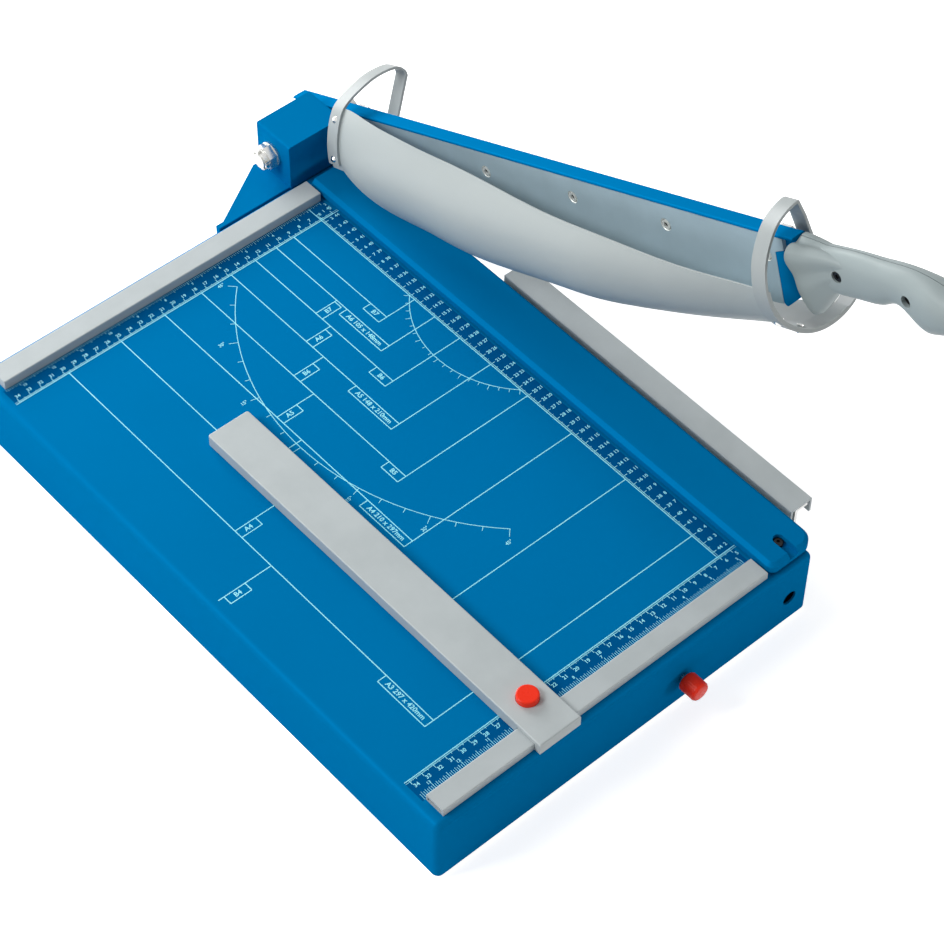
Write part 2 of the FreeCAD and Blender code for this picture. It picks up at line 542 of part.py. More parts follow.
for s, n in handle_screws:
    p = on_arm(SEAM_X - HANDLE_HALF + HEAD_SINK, s, n)
    length = 2 * HANDLE_HALF - HEAD_SINK - 3.0
    left_half = cut(left_half, [rod(4.2, tuple(p), (-1, 0, 0), 20.0),
                                rod(HANDLE_SCREW_R + 0.2, tuple(p), (1, 0, 0), 30.0)])
    right_half = cut(right_half, [rod(HANDLE_SCREW_R, tuple(on_arm(SEAM_X, s, n)), (1, 0, 0), HANDLE_HALF - 2.5)])
    grip_screws.append(pan_head(tuple(p), (1, 0, 0), HANDLE_SCREW_R, length, 4.0, 2.2))
save("handle_left_shell", raised(left_half))
save("handle_right_shell", raised(right_half))
save("handle_screws", [raised(s) for s in grip_screws])

# ======================================================================================= guard rod and lugs
rod_s0, rod_s1 = 20.0, HANDLE_S - 1.5
lugs = []
for a, b in lug_s:
    lug = arm_box(arm_x1, ROLL_X + HUB_R, a, b, ROLL_N - HUB_R, ROLL_N + HUB_R)
    ear = arm_box(arm_x1, arm_x1 + 5.0, a, b, ROLL_N - HUB_R, LUG_SCREW_N + 6.0)
    lug = fuse([lug, ear])
    lug = cut(lug, [rod(ROD_R, tuple(on_arm(ROLL_X, a, ROLL_N)), (0, -1, 0), b - a),
                    rod(LUG_SCREW_R + EASE, tuple(on_arm(arm_x1, (a + b) / 2, LUG_SCREW_N)), (1, 0, 0), 5.0)])
    lugs.append(raised(lug))
save("guard_lugs", lugs)
save("lug_screws", [raised(pan_head(tuple(on_arm(arm_x1 + 5.0, (a + b) / 2, LUG_SCREW_N)), (-1, 0, 0), LUG_SCREW_R,
                                    11.0, 4.2, 3.0)) for a, b in lug_s])
guard_rod = rod(ROD_R, tuple(on_arm(ROLL_X, rod_s0, ROLL_N)), (0, -1, 0), rod_s1 - rod_s0)
CLIP_T = 0.8
clip_s = [REAR_HOOP_S + HOOP_W + GAP, FRONT_HOOP_S - GAP - CLIP_T]
grooves = [ring(ROD_R + 1, ROD_R - 0.5, tuple(on_arm(ROLL_X, s, ROLL_N)), (0, -1, 0), CLIP_T) for s in clip_s]
save("guard_rod", raised(cut(guard_rod, grooves)))
save("rod_clips", [raised(ring(HUB_R - 0.8, ROD_R - 0.5, tuple(on_arm(ROLL_X, s, ROLL_N)), (0, -1, 0), CLIP_T))
                   for s in clip_s])

# ======================================================================================= guard
GUARD_LEN = HANDLE_S - 2.5 - GUARD_START
# share of its length, angles of the upper and the lower edge, inner radii at the upper and the lower edge
shell_rows = [(0.0, 130.8, 189.0, 44.6, 51.2), (0.0267, 130.8, 190.0, 44.6, 51.2), (0.0575, 133.1, 197.0, 45.2, 55.8),
              (0.1109, 139.0, 210.0, 45.1, 58.6), (0.1725, 143.8, 225.0, 45.1, 60.6),
              (0.2382, 148.6, 238.0, 45.0, 63.7), (0.3306, 153.9, 250.0, 44.9, 68.2),
              (0.4435, 162.1, 256.0, 44.7, 69.2), (0.5667, 169.4, 256.0, 44.6, 69.3),
              (0.6899, 173.6, 262.0, 44.4, 65.6), (0.8131, 178.5, 272.0, 44.2, 58.2),
              (0.9055, 180.7, 281.0, 43.8, 51.0), (0.9692, 181.9, 286.0, 43.2, 47.0), (1.0, 181.9, 286.0, 43.2, 47.0)]
RIVET_R = 1.5


def shell_r(a, r_top, r_low):
    w = min(1.0, max(0.0, (a - 150.0) / 70.0))
    return r_top + (r_low - r_top) * w * w * (3 - 2 * w) - 0.035 * max(0.0, a - 250.0)


def roll_point(s, a, r):
    return on_arm(ROLL_X + r * math.cos(math.radians(a)), s, ROLL_N + r * math.sin(math.radians(a)))


def spline(points):
    curve = Part.BSplineCurve()
    curve.interpolate(points)
    return curve.toShape()


def band_wire(inner, outer):
    return Part.Wire([spline(inner), Part.makeLine(inner[-1], outer[-1]), spline(outer),
                      Part.makeLine(outer[0], inner[0])])


def shell_wire(share, a0, a1, r_top, r_low):
    s = GUARD_START + share * GUARD_LEN
    angles = [a0 + (a1 - a0) * k / 9 for k in range(10)]
    return band_wire([roll_point(s, a, shell_r(a, r_top, r_low)) for a in angles],
                     [roll_point(s, a, shell_r(a, r_top, r_low) + GUARD_T) for a in angles])


shell_wires = [shell_wire(*row) for row in shell_rows]
shell = fuse([Part.makeLoft(shell_wires[:2], True, True), Part.makeLoft(shell_wires[1:-1], True, False),
              Part.makeLoft(shell_wires[-2:], True, True)])


def seated(angles, row):
    """Angle and inner radius pairs of a hoop where it lies on the shell."""
    return [(a, shell_r(a, row[3], row[4]) + GUARD_T + 0.05) for a in angles]


def hoop(s0, polar, leg_pts):
    """Band through angle, radius pairs, a straight leg to the roll axis and its eye."""
    band = Part.Face(band_wire([roll_point(s0, a, r) for a, r in polar],
                               [roll_point(s0, a, r + HOOP_T) for a, r in polar])).extrude(V(0, -HOOP_W, 0))
    leg = prism([tuple(on_arm(x, s0, n)) for x, n in leg_pts], (0, -HOOP_W, 0))
    eye = rod(HUB_R, tuple(on_arm(ROLL_X, s0, ROLL_N)), (0, -1, 0), HOOP_W)
    return fuse([band, leg, eye]).cut(rod(ROD_R + RUN, tuple(on_arm(ROLL_X, s0, ROLL_N)), (0, -1, 0), HOOP_W))


rear = hoop(REAR_HOOP_S, seated((184.0, 176.0, 166.0, 154.0, 142.0, 132.0), shell_rows[0])
            + [(123.0, 44.6), (116.0, 43.6), (101.0, 42.8), (87.0, 43.8), (73.0, 45.7), (59.0, 47.8), (50.0, 45.9)],
            [(49.3, 24.2), (49.1, 21.6), (31.3, -4.0), (22.0, -10.5), (22.0, -13.0), (26.0, -13.0), (33.0, -5.3),
             (51.1, 20.8), (51.0, 24.0), (50.7, 24.8)])
front = hoop(FRONT_HOOP_S, [(296.0, 46.6)]
             + seated((286.0, 275.0, 264.0, 256.0, 248.0, 234.0, 220.0, 206.0, 193.0, 183.0), shell_rows[-1])
             + [(173.0, 45.4), (162.0, 44.9), (150.0, 44.4), (140.0, 44.2), (128.0, 44.5), (115.0, 44.1),
                (104.0, 43.5), (98.5, 43.2)],
             [(13.2, 30.7), (15.9, 20.0), (17.6, 6.0), (17.6, ROLL_N), (19.6, ROLL_N), (19.6, 6.0), (17.9, 20.4),
              (15.1, 32.2), (13.2, 32.7)])
rivets = []
for piece, s, a, row in (("rear", REAR_HOOP_S, 143.0, shell_rows[0]), ("rear", REAR_HOOP_S, 179.5, shell_rows[0]),
                         ("front", FRONT_HOOP_S, 216.0, shell_rows[-1]), ("front", FRONT_HOOP_S, 240.0, shell_rows[-1])):
    sm = s + HOOP_W / 2
    out = V(math.cos(math.radians(a)), 0, math.sin(math.radians(a)))
    r_in = shell_r(a, row[3], row[4])
    bottom = roll_point(sm, a, r_in - 0.35)
    seat = roll_point(sm, a, r_in + GUARD_T + HOOP_T - 0.25)
    shank = rod(RIVET_R, tuple(bottom), tuple(out), GUARD_T + HOOP_T + 0.1)
    dome = Part.makeCone(3.0, 1.6, 1.5, seat, out)
    tail = rod(2.6, tuple(bottom - out * 1.0), tuple(out), 1.0)
    rivets.append(fuse([shank, dome, tail]))
    spot = rod(3.0, tuple(seat), tuple(out), 3.0)
    hole = rod(RIVET_R, tuple(bottom), tuple(out), 6.0)
    flat = rod(2.6, tuple(bottom - out * 1.0), tuple(out), 1.0)
    shell = cut(shell, [hole, flat])
    if piece == "rear":
        rear = cut(rear, [spot, hole])
    else:
        front = cut(front, [spot, hole])
save("guard_shell", raised(shell))
save("guard_rear_hoop", raised(rear))
save("guard_front_hoop", raised(front))
save("guard_rivets", [raised(r) for r in rivets])

# ======================================================================================= clamp bar
cx1 = X_CUT - CLAMP_EDGE
cx0 = cx1 - CLAMP_W
CLAMP_BACK = 12.5
CLAMP_OVER = 22.5        # bar's front end past the end of the cut
cy0, cy1 = Y_STOP - CUT_LEN - CLAMP_OVER, Y_STOP + CLAMP_BACK
cz0 = Z_TOP + CLAMP_LIFT
cz1 = cz0 + CLAMP_H
bar = box(cx0, cx1, cy0, cy1, cz0, cz1)
for side, r in ((-1, 6.0), (1, 12.0)):
    bar = round_edges(bar, r, lambda e: along(e, (0, 0, 1)) and e.BoundBox.YMax < cy0 + 1
                      and side * (e.BoundBox.XMin - post_x) > CLAMP_W / 2 - 1)
CLAMP_BEVEL = 3.0
bevel = [e for e in bar.Edges if along(e, (0, 1, 0)) and e.BoundBox.ZMin > cz1 - 0.01 and e.BoundBox.XMax < cx0 + 1]
bar = bar.makeChamfer(CLAMP_BEVEL, bevel)
CLAMP_SLOT_R = 4.2
CLAMP_FLOOR = 3.0
slot_z = cz0 + CLAMP_FLOOR
bar = cut(bar, [box(cx0 + CLAMP_WALL + 2.0, cx1 - CLAMP_WALL, post_y[1] + 8.0, cy1 - CLAMP_WALL, cz0, cz1 - CLAMP_WALL),
                box(post_x - CLAMP_SLOT_R, post_x + CLAMP_SLOT_R, cy0, post_y[1], slot_z, cz1),
                rod(CLAMP_SLOT_R, (post_x, post_y[1], slot_z), (0, 0, 1), CLAMP_H)])
CLAMP_SCREW_R = 2.0
bar = bar.cut(rod(CLAMP_SCREW_R + EASE, (post_x, post_y[1], cz0), (0, 0, 1), CLAMP_FLOOR))
save("clamp_bar", bar)
BUSH_FLANGE = 2.0
BUSH_RIM = 3.0
BUSH_L = 10.0
post_tops = [cz1 - CLAMP_WALL, cz0]
bush_low = Z_TOP - SHEET - BUSH_L
COLLAR_H = 2.5
COLLAR_R = 7.0
collar_top = bush_low - GAP
SPRING_L = 14.0
SPRING_R = 5.6
SPRING_WIRE = 0.55
posts, bushes, seats, springs = [], [], [], []
for y, top in zip(post_y, post_tops):
    collar_low = collar_top - COLLAR_H
    posts.append(fuse([rod(POST_R, (post_x, y, collar_low - 6.0), (0, 0, 1), top - collar_low + 6.0),
                       rod(COLLAR_R, (post_x, y, collar_low), (0, 0, 1), COLLAR_H)]))
    bush = fuse([rod(POST_BUSH_R, (post_x, y, bush_low), (0, 0, 1), BUSH_L + SHEET),
                 rod(POST_BUSH_R + BUSH_RIM, (post_x, y, Z_TOP - SHEET - BUSH_FLANGE), (0, 0, 1), BUSH_FLANGE)])
    bushes.append(bush.cut(rod(POST_R + RUN, (post_x, y, bush_low), (0, 0, 1), BUSH_L + SHEET)))
    floor = collar_top - COLLAR_H - SPRING_L - 1.5
    half = POST_BUSH_R + BUSH_RIM + 2.0
    seat = [box(post_x - 9, post_x + 9, y - half, y + half, floor, floor + 1.5)]
    for side in (-1, 1):
        y_mid = y + side * (half - 0.75)
        y_tab = y + side * (half + 1.5)
        seat += [box(post_x - 9, post_x + 9, y_mid - 0.75, y_mid + 0.75, floor, Z_TOP - SHEET),
                 box(post_x - 9, post_x + 9, y_tab - 3, y_tab + 3, Z_TOP - SHEET - 1.5, Z_TOP - SHEET)]
    seats.append(fuse(seat).cut(rod(POST_R + 0.5, (post_x, y, floor), (0, 0, 1), 1.5)))
    springs.append(coil(V(post_x, y, floor + 1.5), SPRING_R, SPRING_WIRE, SPRING_L, 6))
CLAMP_SCREW_L = 10.0
posts[1] = posts[1].cut(rod(CLAMP_SCREW_R, (post_x, post_y[1], slot_z - CLAMP_SCREW_L), (0, 0, 1), CLAMP_SCREW_L))
save("clamp_posts", posts)
save("clamp_guide_bushes", bushes)
save("clamp_spring_seats", seats)
save("clamp_springs", springs)
save("clamp_screw", pan_head((post_x, post_y[1], slot_z), (0, 0, -1), CLAMP_SCREW_R, CLAMP_SCREW_L, 3.9, 2.6))

# ======================================================================================= backstop
sx = X_CUT + STOP_X
button_x = sx + BUTTON_SIDE
sx0, sx1 = sx - STOP_W / 2, sx + STOP_W / 2
BAR_END = -CUT_LEN + 20.0
HEAD_END = -CUT_LEN - APRON
sz0, sz1 = Z_TOP + GAP, Z_TOP + STOP_TOP
yb0, yb1 = Y_STOP + BAR_END, Y_STOP + STOP_BACK
stop = box(sx0, sx1, yb0, yb1, sz0, sz1)
stop = round_edges(stop, 2.0, lambda e: along(e, (0, 0, 1)) and e.BoundBox.YMin > yb1 - 1)
stop = round_edges(stop, 1.0, lambda e: e.BoundBox.ZMin > sz1 - 0.01 and e.BoundBox.YMax > yb0 + 1)
TONGUE = (12.0, 22.0, 2.5, 7.0)            # half width, length, low and high face above the table
tongue = box(sx - TONGUE[0], sx + TONGUE[0], yb0 - 1, yb0 + TONGUE[1], Z_TOP + TONGUE[2], Z_TOP + TONGUE[3])
TONGUE_SCREW_R = 1.5
tongue_screws = [(sx - 6.0, yb0 + 14.0), (sx + 6.0, yb0 + 14.0)]
stop = cut(stop, [box(sx - TONGUE[0] - 0.05, sx + TONGUE[0] + 0.05, yb0, yb0 + TONGUE[1] + 0.3,
                      Z_TOP + TONGUE[2], Z_TOP + TONGUE[3])]
           + [countersink((x, y, sz0), (0, 0, 1), TONGUE_SCREW_R, TONGUE[2] - GAP, 2.6) for x, y in tongue_screws])
save("backstop_bar", stop)
yh0 = Y_STOP + HEAD_END
head = box(sx0, sx1, yh0, yb0, sz0, sz1)
head = round_edges(head, 1.0, lambda e: e.BoundBox.ZMin > sz1 - 0.01 and e.BoundBox.YMin < yb0 - 1)
fence_way = box(sx0, sx1, y_ff0 - GAP, Y_FENCE + GAP, Z_TOP, Z_TOP + FRONT_FENCE_H + GAP)
BUTTON_Y = -CUT_LEN + 8.0
by = Y_STOP + BUTTON_Y
button_low, button_rim, button_top = Z_TOP + 4.5, Z_TOP + 6.0, Z_TOP + 14.5
cover_low, cover_top = Z_TOP + 0.8, Z_TOP + 2.2
head = cut(head, [fence_way, rod(BUTTON_R + GAP, (button_x, by, sz0), (0, 0, 1), 12.0),
                  rod(BUTTON_R + 1.2 + GAP, (button_x, by, sz0), (0, 0, 1), button_rim + GAP - sz0),
                  rod(BUTTON_R + 2.5, (button_x, by, sz0), (0, 0, 1), cover_top - sz0)])
head = fuse([head, tongue])
head = cut(head, [rod(BUTTON_R + 1.2 + GAP, (button_x, by, sz0), (0, 0, 1), button_rim + GAP - sz0)]
           + [rod(TONGUE_SCREW_R, (x, y, Z_TOP + TONGUE[2]), (0, 0, 1), 3.5) for x, y in tongue_screws])
save("backstop_head", head)
save("backstop_screws", [countersunk((x, y, sz0), (0, 0, 1), TONGUE_SCREW_R, TONGUE[2] - GAP + 3.2, 2.6)
                         for x, y in tongue_screws])
save("button_cover", rod(BUTTON_R + 2.5, (button_x, by, cover_low), (0, 0, 1), cover_top - cover_low))
BORE_R = 5.0
button = fuse([rod(BUTTON_R, (button_x, by, button_low), (0, 0, 1), button_top - button_low),
               rod(BUTTON_R + 1.2, (button_x, by, button_low), (0, 0, 1), button_rim - button_low)])
button = button.makeFillet(1.2, [e for e in button.Edges if e.BoundBox.ZMin > button_top - 0.01])
button = button.cut(rod(BORE_R, (button_x, by, button_low), (0, 0, 1), 5.0))
save("release_button", button)
spring_h = button_low + 5.0 - cover_top
save("button_spring", coil(V(button_x, by, cover_top + 0.1), 3.6, 0.4, spring_h - 0.2, 4))

# ======================================================================================= strip gauge
gx0 = X_CUT + GAUGE_X
gx1 = gx0 + GAUGE_W
gz1 = Z_TOP + GAUGE_TOP
gz0 = gz1 - GAUGE_H
channel = box(gx0, gx1, gy0, gy1, gz0, gz1)
channel = channel.cut(box(gx0 + GAUGE_WALL, gx1 - GAUGE_WALL, gy0, gy1, gz0, gz1 - GAUGE_WALL))
channel = round_edges(channel, 0.8, lambda e: along(e, (0, 1, 0)) and e.BoundBox.ZMin > gz1 - 0.01)
save("strip_gauge", channel)
LEG_X0, LEG_T = 8.0, 2.5
LEG_HALF = 8.0
GAUGE_NUT_AF, GAUGE_NUT_T = 9.0, 4.0
legs, gauge_nuts, gauge_rods = [], [], []
ROD_IN = -195.0
leg_x0, leg_x1 = X_CUT + LEG_X0, X_CUT + LEG_X0 + LEG_T
for y in rod_y:
    up = box(leg_x0, leg_x1, y - LEG_HALF, y + LEG_HALF, ROD_Z - 8.0, gz1 - GAUGE_WALL)
    up = round_edges(up, 4.0, lambda e: along(e, (1, 0, 0)) and e.BoundBox.ZMax < ROD_Z)
    top = box(leg_x0, leg_x0 + 12.0, y - LEG_HALF, y + LEG_HALF, gz1 - GAUGE_WALL - LEG_T, gz1 - GAUGE_WALL)
    legs.append(fuse([up, top]).cut(rod(GAUGE_ROD_R, (leg_x0, y, ROD_Z), (1, 0, 0), LEG_T)))
    gauge_nuts.append(hex_bar(GAUGE_NUT_AF, (leg_x1, y, ROD_Z), (1, 0, 0), GAUGE_NUT_T)
                      .cut(rod(GAUGE_ROD_R, (leg_x1, y, ROD_Z), (1, 0, 0), GAUGE_NUT_T)))
    gauge_rods.append(rod(GAUGE_ROD_R, (X_CUT + ROD_IN, y, ROD_Z), (1, 0, 0),
                          LEG_X0 + LEG_T + GAUGE_NUT_T + 1.0 - ROD_IN))
save("gauge_legs", legs)
save("gauge_nuts", gauge_nuts)
save("gauge_rods", gauge_rods)
bushes = []
for y in rod_y:
    b = fuse([rod(ROD_BUSH_R, (X_WALL - SHEET - 8.0, y, ROD_Z), (1, 0, 0), 8.0 + SHEET),
              rod(ROD_BUSH_R + 2.0, (X_WALL, y, ROD_Z), (1, 0, 0), 1.5)])
    bushes.append(b.cut(rod(GAUGE_ROD_R + RUN, (X_WALL - 12.0, y, ROD_Z), (1, 0, 0), 20.0)))
save("rod_bushes", bushes)
GUIDE_X = -75.0
guides = []
for y in rod_y:
    gx = X_CUT + GUIDE_X
    g = fuse([box(gx, gx + 2.0, y - 11, y + 11, ROD_Z - 8.0, Z_TOP - SHEET),
              box(gx, gx + 14.0, y - 11, y + 11, Z_TOP - SHEET - 2.0, Z_TOP - SHEET)])
    guides.append(g.cut(rod(GAUGE_ROD_R + RUN, (gx, y, ROD_Z), (1, 0, 0), 2.0)))
save("rod_guides", guides)

# ======================================================================================= clamp knob
STUD_SINK = 9.0
ky = Y_FRONT - KNOB_OFF
knob = rod(KNOB_R, (knob_x, ky - KNOB_L, ROD_Z), (0, 1, 0), KNOB_L)
knob = knob.makeFillet(1.8, [e for e in knob.Edges if e.BoundBox.YMax < ky - KNOB_L + 0.01])
knob = knob.cut(rod(STUD_R, (knob_x, ky - STUD_SINK, ROD_Z), (0, 1, 0), STUD_SINK))
grips = []
for k in range(12):
    a = math.radians(30 * k)
    grips.append(rod(0.9, (knob_x + (KNOB_R + 0.4) * math.cos(a), ky - KNOB_L, ROD_Z + (KNOB_R + 0.4) * math.sin(a)),
                     (0, 1, 0), KNOB_L - 2.0))
save("clamp_knob", cut(knob, grips))
stud_end = rod_y[1] - GAUGE_ROD_R - GAP
save("knob_stud", rod(STUD_R, (knob_x, ky - STUD_SINK, ROD_Z), (0, 1, 0), stud_end - (ky - STUD_SINK)))
save("stud_nut", hex_bar(11.0, (knob_x, Y_FRONT + SHEET, ROD_Z), (0, 1, 0), 6.0)
     .cut(rod(STUD_R + RUN, (knob_x, Y_FRONT + SHEET, ROD_Z), (0, 1, 0), 6.0)))
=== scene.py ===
import math
import json

import bpy
from mathutils import Matrix, Vector


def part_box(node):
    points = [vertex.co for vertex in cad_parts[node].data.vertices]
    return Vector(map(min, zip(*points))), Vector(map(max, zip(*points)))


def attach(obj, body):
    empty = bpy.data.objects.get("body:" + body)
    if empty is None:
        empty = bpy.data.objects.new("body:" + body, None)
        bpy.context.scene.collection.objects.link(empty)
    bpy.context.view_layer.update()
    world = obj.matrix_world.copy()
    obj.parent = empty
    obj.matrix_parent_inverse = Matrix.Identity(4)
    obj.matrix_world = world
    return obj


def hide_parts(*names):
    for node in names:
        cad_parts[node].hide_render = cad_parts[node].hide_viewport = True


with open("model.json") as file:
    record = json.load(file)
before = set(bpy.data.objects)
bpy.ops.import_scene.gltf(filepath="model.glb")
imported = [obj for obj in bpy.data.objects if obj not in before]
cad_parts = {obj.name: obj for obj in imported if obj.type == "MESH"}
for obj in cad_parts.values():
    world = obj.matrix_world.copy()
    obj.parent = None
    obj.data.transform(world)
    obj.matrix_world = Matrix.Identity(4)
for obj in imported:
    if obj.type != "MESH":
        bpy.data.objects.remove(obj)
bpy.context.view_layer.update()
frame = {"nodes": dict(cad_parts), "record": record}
bpy.ops.object.select_all(action="DESELECT")
scene = bpy.context.scene
nodes = frame["nodes"]


# ------------------------------------------------------------------ camera
AZIMUTH, DOWN, ROLL = 41.83, 50.34, 0.72         # degrees
CAMERA_PLACE = (-0.8244, -1.0151, 1.6288)
LENS, SENSOR, CLIP_END = 110.27, 36.0, 50.0


def camera():
    azimuth, down, roll = math.radians(AZIMUTH), math.radians(DOWN), math.radians(ROLL)
    look = Vector((math.sin(azimuth) * math.cos(down), math.cos(azimuth) * math.cos(down), -math.sin(down)))
    right = look.cross(Vector((0, 0, 1))).normalized()
    up = right.cross(look)
    right, up = (right * math.cos(roll) + up * math.sin(roll), up * math.cos(roll) - right * math.sin(roll))
    bpy.ops.object.camera_add()
    cam = bpy.context.object
    cam.data.sensor_width = SENSOR
    cam.data.lens = LENS
    cam.data.clip_end = CLIP_END
    turn = Matrix((right, up, -look)).transposed().to_4x4()
    cam.matrix_world = Matrix.Translation(CAMERA_PLACE) @ turn
    scene.camera = cam


# ------------------------------------------------------------------ materials
class Build:
    """Small helper that adds and links shader nodes in one material."""

    def __init__(self, name):
        self.mat = bpy.data.materials.new(name)
        self.mat.use_nodes = True
        self.tree = self.mat.node_tree
        self.shader = self.tree.nodes["Principled BSDF"]
        self.coord = self.add("ShaderNodeTexCoord").outputs["Object"]

    def add(self, kind, **values):
        node = self.tree.nodes.new(kind)
        for key, value in values.items():
            setattr(node, key, value)
        return node

    def link(self, a, b):
        self.tree.links.new(a, b)

    def stretch(self, scale):
        node = self.add("ShaderNodeMapping")
        self.link(self.coord, node.inputs["Vector"])
        node.inputs["Scale"].default_value = scale
        return node.outputs["Vector"]

    def noise(self, scale, detail=3.0, rough=0.55, vector=None):
        node = self.add("ShaderNodeTexNoise")
        self.link(vector or self.coord, node.inputs["Vector"])
        node.inputs["Scale"].default_value = scale
        node.inputs["Detail"].default_value = detail
        node.inputs["Roughness"].default_value = rough
        return node.outputs["Fac"]

    def ramp(self, fac, stops):
        node = self.add("ShaderNodeValToRGB")
        self.link(fac, node.inputs["Fac"])
        cr = node.color_ramp
        while len(cr.elements) < len(stops):
            cr.elements.new(0.5)
        for el, (pos, col) in zip(cr.elements, stops):
            el.position = pos
            el.color = (*col, 1) if isinstance(col, tuple) else (col, col, col, 1)
        return node.outputs["Color"]

    def fit(self, fac, low, high, a=0.3, b=0.7):
        node = self.add("ShaderNodeMapRange")
        self.link(fac, node.inputs["Value"])
        for key, value in (("From Min", a), ("From Max", b), ("To Min", low), ("To Max", high)):
            node.inputs[key].default_value = value
        return node.outputs["Result"]

    def bump(self, heights):
        """heights: pairs of a height output and its depth in metres, laid on each other."""
        normal = None
        for height, depth in heights:
            node = self.add("ShaderNodeBump")
            node.inputs["Strength"].default_value = 1.0
            node.inputs["Distance"].default_value = depth
            self.link(height, node.inputs["Height"])
            if normal:
                self.link(normal, node.inputs["Normal"])
            normal = node.outputs["Normal"]
        self.link(normal, self.shader.inputs["Normal"])

    def colour(self, fac, dark, light, a=0.35, b=0.65):
        self.link(self.ramp(fac, [(a, dark), (b, light)]), self.shader.inputs["Base Color"])

    def rough(self, fac, low, high, a=0.3, b=0.7):
        self.link(self.fit(fac, low, high, a, b), self.shader.inputs["Roughness"])


def enamel(name, dark, light, low, high, peel=900.0, depth=0.000012,
           spec=0.3, tint=(1, 1, 1), metallic=0.0):
    """Baked enamel: two close tones, fine orange peel and patchy gloss, with metal flake where it has any."""
    m = Build(name)
    m.colour(m.noise(6.0, 4.0), dark, light)
    m.rough(m.noise(22.0, 5.0), low, high)
    m.bump([(m.noise(peel, 2.0), depth), (m.noise(60.0, 3.0), 0.000008)])
    m.shader.inputs["Specular IOR Level"].default_value = spec
    m.shader.inputs["Specular Tint"].default_value = (*tint, 1)
    m.shader.inputs["Metallic"].default_value = metallic
    return m.mat


def metal(name, dark, light, low, high, grain=(1, 1, 1), grain_scale=400.0, depth=0.000008, metallic=1.0):
    """Metal with a drawn or ground grain along one axis."""
    m = Build(name)
    lines = m.noise(grain_scale, 4.0, 0.6, m.stretch(grain))
    m.colour(m.noise(35.0, 4.0), dark, light)
    m.rough(lines, low, high)
    m.bump([(lines, depth)])
    m.shader.inputs["Metallic"].default_value = metallic
    return m.mat


def plastic(name, dark, light, low, high, peel=1500.0, depth=0.00001, spec=0.4):
    """Moulded plastic: fine spark-eroded texture and slight wear."""
    m = Build(name)
    m.colour(m.noise(14.0, 3.0), dark, light)
    m.rough(m.noise(45.0, 4.0), low, high)
    m.bump([(m.noise(peel, 2.0), depth)])
    m.shader.inputs["Specular IOR Level"].default_value = spec
    return m.mat


SKY = (0.05, 0.75, 0.92)                       # tint of the blue paint's sheen
ALONG_X, ALONG_Y = (0.03, 1, 1), (1, 0.03, 1)  # stretch of a drawn grain
ALONG_BLADE = (1, 0.04, 0.04)                  # stretch of the grinding marks
blue = enamel("blue_enamel", (0.0, 0.167, 0.412), (0.0, 0.175, 0.432), 0.42, 0.47,
              spec=0.0, tint=SKY, metallic=0.08)
grey = enamel("grey_enamel", (0.352, 0.386, 0.388), (0.371, 0.407, 0.409), 0.34, 0.42, spec=0.35)
fence = metal("anodised_bar", (0.447, 0.493, 0.504), (0.482, 0.529, 0.542), 0.45, 0.55,
              ALONG_X, 700.0, metallic=0.03)
fence_y = metal("anodised_bar_y", (0.451, 0.497, 0.506), (0.487, 0.534, 0.543), 0.45, 0.55,
                ALONG_Y, 700.0, metallic=0.03)
grip = plastic("grey_grip", (0.330, 0.387, 0.393), (0.349, 0.410, 0.416), 0.38, 0.48, spec=0.25)
red = plastic("red_cap", (0.93, 0.030, 0.008), (0.97, 0.036, 0.010), 0.25, 0.35, 900.0, 0.000006, 0.2)
black = plastic("black_moulding", (0.02, 0.02, 0.022), (0.03, 0.03, 0.033), 0.45, 0.6)
steel = metal("ground_steel", (0.350, 0.466, 0.530), (0.377, 0.502, 0.571), 0.42, 0.55,
              ALONG_BLADE, 900.0, metallic=0.12)
zinc = metal("zinc_plate", (0.62, 0.62, 0.60), (0.74, 0.74, 0.72), 0.16, 0.30)
bright_zinc = metal("bright_zinc", (0.74, 0.78, 0.76), (0.84, 0.87, 0.85), 0.35, 0.5, metallic=0.5)
sheet = metal("galvanised_sheet", (0.50, 0.51, 0.52), (0.62, 0.63, 0.64), 0.32, 0.5)
dark_steel = metal("black_oxide", (0.02, 0.02, 0.022), (0.04, 0.04, 0.042), 0.3, 0.45)
wire = metal("spring_wire", (0.25, 0.25, 0.26), (0.34, 0.34, 0.35), 0.2, 0.35)
brass = metal("turned_brass", (0.60, 0.42, 0.14), (0.70, 0.50, 0.18), 0.22, 0.35)
rubber = plastic("foot_rubber", (0.018, 0.018, 0.018), (0.028, 0.028, 0.028), 0.7, 0.85, 600.0, 0.00004)
ink = plastic("pale_ink", (0.30, 0.84, 0.98), (0.36, 0.90, 1.0), 0.5, 0.6, 1200.0, 0.000002, 0.2)
# the guard's grey is a lighter copy of the grey enamel: painted light, standing in for more light on the
# guard
guard_grey_painted_light = enamel("guard_grey_painted_light", (0.40, 0.440, 0.437), (0.42, 0.462, 0.459), 0.34, 0.42, spec=0.25)
band = enamel("dark_band", (0.0, 0.088, 0.262), (0.0, 0.095, 0.278), 0.42, 0.47,
              spec=0.0, tint=SKY, metallic=0.08)

SLOT_LOOK = {"blue_paint": blue, "grey_paint": grey, "grey_aluminium": fence, "grey_plastic": grip,
             "red_plastic": red, "black_plastic": black, "blade_steel": steel, "zinc_steel": zinc,
             "zinc_sheet": sheet, "black_steel": dark_steel, "spring_steel": wire, "brass": brass,
             "black_rubber": rubber}
# the guard shell takes the lighter copy of the grey enamel, which is painted light
OWN_LOOK = {"guard_shell": guard_grey_painted_light, "backstop_bar": fence_y, "strip_gauge": fence_y,
            "backstop_head": fence_y, "clamp_screw": dark_steel}


def dress():
    for part in frame["record"]["subparts"]:
        obj = nodes[part["node"]]
        look = OWN_LOOK.get(part["node"], SLOT_LOOK[part["material_slot"]])
        obj.data.materials.clear()
        obj.data.materials.append(look)


